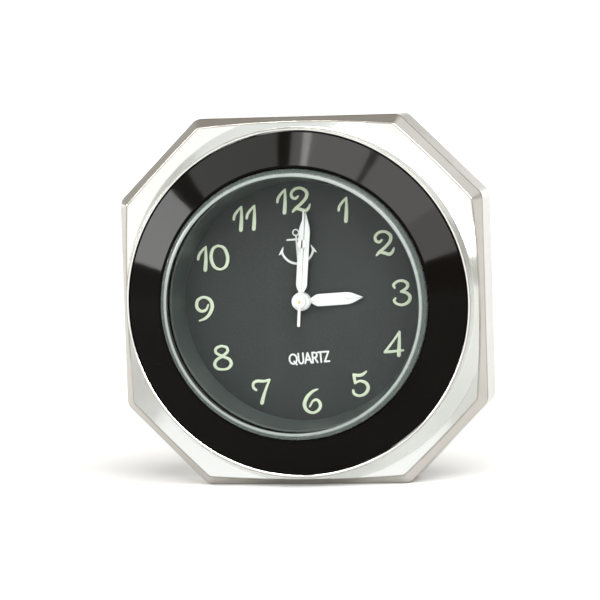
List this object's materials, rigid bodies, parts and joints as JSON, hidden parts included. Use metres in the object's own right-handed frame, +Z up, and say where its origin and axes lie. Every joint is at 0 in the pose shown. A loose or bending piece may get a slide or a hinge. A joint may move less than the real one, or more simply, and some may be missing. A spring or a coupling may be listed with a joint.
{
  "type": "octagonal quartz clock",
  "caption": "Small octagonal stick-on quartz clock: chrome holder, gloss black ring, domed-edge glass, dark dial and white hands, with a push-in round movement.",
  "frame": {"origin": "where the dial axis meets the back of the adhesive pad", "axes": "+Z up through twelve on the holder, +Y into the surface that carries it, the dial faces -Y, +X to the right seen from the front"},
  "size_m": [0.045, 0.0138, 0.045],
  "materials": {
    "chrome": "bright chrome plating",
    "gloss_black": "gloss black",
    "glass": "clear mineral glass with a ground rim",
    "foam": "adhesive foam",
    "rubber": "soft black rubber",
    "black_plastic": "moulded, fine texture",
    "surround": "satin grey-green",
    "dial": "satin dark grey paint",
    "movement_plastic": "moulded",
    "wheel_plastic": "moulded",
    "steel": "rolled strip",
    "brass": "turned",
    "magnet": "sintered magnet",
    "copper": "enamelled copper wire",
    "board": "printed circuit board",
    "chip": "potted chip",
    "can": "drawn can",
    "white_paint": "white paint",
    "lume": "white luminous compound"
  },
  "bodies": {
    "holder": {"bezel_shell": "chrome", "foam_pad": "foam"},
    "grip": {"grip_ring": "rubber"},
    "clock": {"front_ring": "gloss_black", "crystal_glass": "glass", "crystal_gasket": "rubber", "dial_surround": "surround", "dial_plate": "dial", "case_shell": "black_plastic", "case_back": "black_plastic", "back_gasket": "rubber", "case_screws": "steel", "movement_ring": "movement_plastic", "battery_cell": "steel", "contact_negative": "steel", "contact_positive": "steel", "main_plate": "movement_plastic", "train_bridge": "movement_plastic", "bridge_pillars": "movement_plastic", "bridge_screws": "steel", "centre_tube": "brass", "stator": "steel", "coil_core": "steel", "coil_winding": "copper", "circuit_board": "board", "driver_chip": "chip", "quartz_can": "can"},
    "cap_lift": {"cap_seal_ring": "rubber"},
    "cap": {"battery_cap": "black_plastic"},
    "seconds": {"seconds_wheel": "brass", "seconds_hand": "white_paint"},
    "step": {"step_wheel": "wheel_plastic"},
    "rotor": {"rotor": "magnet"},
    "third": {"third_wheel": "wheel_plastic"},
    "minute": {"centre_wheel": "brass", "clutch_spring": "steel", "cannon_pinion": "brass", "minute_hand": "white_paint", "minute_lume": "lume"},
    "setting": {"motion_wheel": "wheel_plastic", "setting_knob": "wheel_plastic"},
    "hour": {"hour_wheel": "wheel_plastic", "hour_hand": "white_paint", "hour_lume": "lume"}
  },
  "joints": [
    {"name": "clock_pull", "type": "slide", "parent": "holder", "child": "grip", "axis": [0, -1, 0], "range_m": [0, 0.012]},
    {"name": "clock_turn", "type": "hinge", "parent": "grip", "child": "clock", "pos_m": [0, 0, 0], "axis": [0, 1, 0], "continuous": true},
    {"name": "cap_rise", "type": "slide", "parent": "clock", "child": "cap_lift", "axis": [0, 1, 0], "range_m": [0, 0.0015]},
    {"name": "cap_turn", "type": "hinge", "parent": "cap_lift", "child": "cap", "pos_m": [0.00798, 0, 0.00051], "axis": [0, 1, 0], "range_deg": [0, 1080]},
    {"name": "seconds_turn", "type": "hinge", "parent": "clock", "child": "seconds", "pos_m": [0, 0, 0], "axis": [0, 1, 0], "continuous": true},
    {"name": "step_turn", "type": "hinge", "parent": "clock", "child": "step", "pos_m": [0.00027, 0, -0.00419], "axis": [0, 1, 0], "continuous": true},
    {"name": "rotor_turn", "type": "hinge", "parent": "clock", "child": "rotor", "pos_m": [0.00045, 0, -0.00707], "axis": [0, 1, 0], "continuous": true},
    {"name": "third_turn", "type": "hinge", "parent": "clock", "child": "third", "pos_m": [-0.00026, 0, 0.00407], "axis": [0, 1, 0], "continuous": true},
    {"name": "minute_turn", "type": "hinge", "parent": "clock", "child": "minute", "pos_m": [0, 0, 0], "axis": [0, 1, 0], "continuous": true},
    {"name": "setting_turn", "type": "hinge", "parent": "clock", "child": "setting", "pos_m": [-0.00431, 0, -0.00028], "axis": [0, 1, 0], "continuous": true},
    {"name": "hour_turn", "type": "hinge", "parent": "clock", "child": "hour", "pos_m": [0, 0, 0], "axis": [0, 1, 0], "continuous": true}
  ],
  "couplings": [
    {"joint": "cap_rise", "follows": "cap_turn", "m_per_rad": 0.000079577},
    {"joint": "step_turn", "follows": "seconds_turn", "ratio": -6},
    {"joint": "rotor_turn", "follows": "seconds_turn", "ratio": 30},
    {"joint": "third_turn", "follows": "seconds_turn", "ratio": -0.13333},
    {"joint": "minute_turn", "follows": "seconds_turn", "ratio": 0.016667},
    {"joint": "setting_turn", "follows": "seconds_turn", "ratio": -0.0055556},
    {"joint": "hour_turn", "follows": "seconds_turn", "ratio": 0.0013889}
  ]
}
